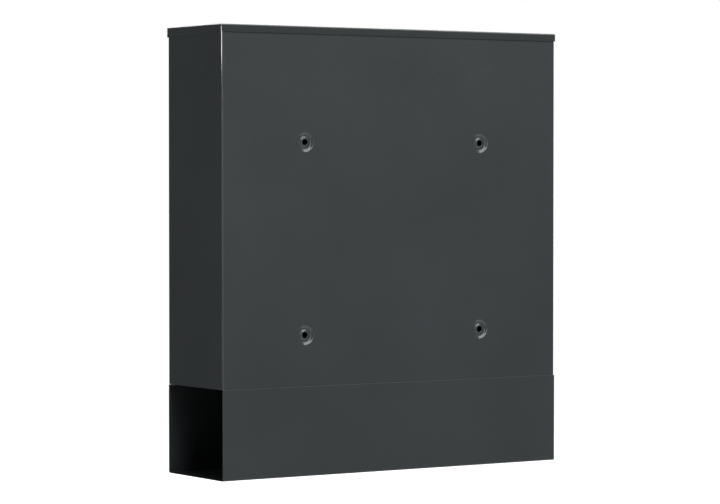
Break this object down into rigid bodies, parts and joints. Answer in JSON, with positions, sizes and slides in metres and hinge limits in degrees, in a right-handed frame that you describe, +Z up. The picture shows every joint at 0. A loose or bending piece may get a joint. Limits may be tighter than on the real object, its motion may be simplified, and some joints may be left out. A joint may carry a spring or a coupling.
{
  "type": "wall mounted mailbox",
  "caption": "Wall mounted sheet-steel mailbox with a lapped top cap, front mail flap, lockable front door and an open-ended newspaper compartment below.",
  "frame": {"origin": "on the wall's surface, at the centre of the rectangle of four fixing holes in the back", "axes": "+Z up, +Y into the wall, so the front faces -Y; +X to the right as seen from the front"},
  "size_m": [0.3818, 0.105, 0.42],
  "materials": {
    "powder_coat": "semi-gloss anthracite grey powder coat on sheet steel",
    "zinc_steel": "zinc plated",
    "nickel": "nickel plated",
    "rubber": "matt black",
    "nylon": "natural white nylon",
    "clear_plastic": "clear acrylic",
    "card": "plain white card"
  },
  "bodies": {
    "housing": {"housing_shell": "powder_coat", "top_cap": "powder_coat", "floor_panel": "powder_coat", "newspaper_tray": "powder_coat", "slot_panel": "powder_coat", "tray_rivet_left": "zinc_steel", "tray_rivet_centre": "zinc_steel", "tray_rivet_right": "zinc_steel", "flap_pivot_left": "zinc_steel", "flap_pivot_right": "zinc_steel", "flap_bumper_left": "rubber", "flap_bumper_right": "rubber", "door_bumper_lower": "rubber", "door_bumper_upper": "rubber", "door_hinge_pin_lower": "zinc_steel", "door_hinge_pin_upper": "zinc_steel", "hinge_washer": "nylon", "hinge_clip_lower": "zinc_steel", "hinge_clip_upper": "zinc_steel"},
    "flap": {"mail_flap": "powder_coat"},
    "door": {"door_panel": "powder_coat", "lock_housing": "nickel", "lock_nut": "zinc_steel", "name_cover": "clear_plastic", "name_card": "card"},
    "lock": {"lock_plug": "nickel", "lock_cam": "zinc_steel", "cam_screw": "zinc_steel"}
  },
  "joints": [
    {"name": "flap_hinge", "type": "hinge", "parent": "housing", "child": "flap", "pos_m": [0, -0.0969, 0.1805], "axis": [-1, 0, 0], "range_deg": [0, 80]},
    {"name": "door_hinge", "type": "hinge", "parent": "housing", "child": "door", "pos_m": [-0.171, -0.0964, 0.001], "axis": [0, 0, -1], "range_deg": [0, 105]},
    {"name": "lock_turn", "type": "hinge", "parent": "door", "child": "lock", "pos_m": [0.152, -0.0999, 0.001], "axis": [0, -1, 0], "range_deg": [0, 90]}
  ]
}
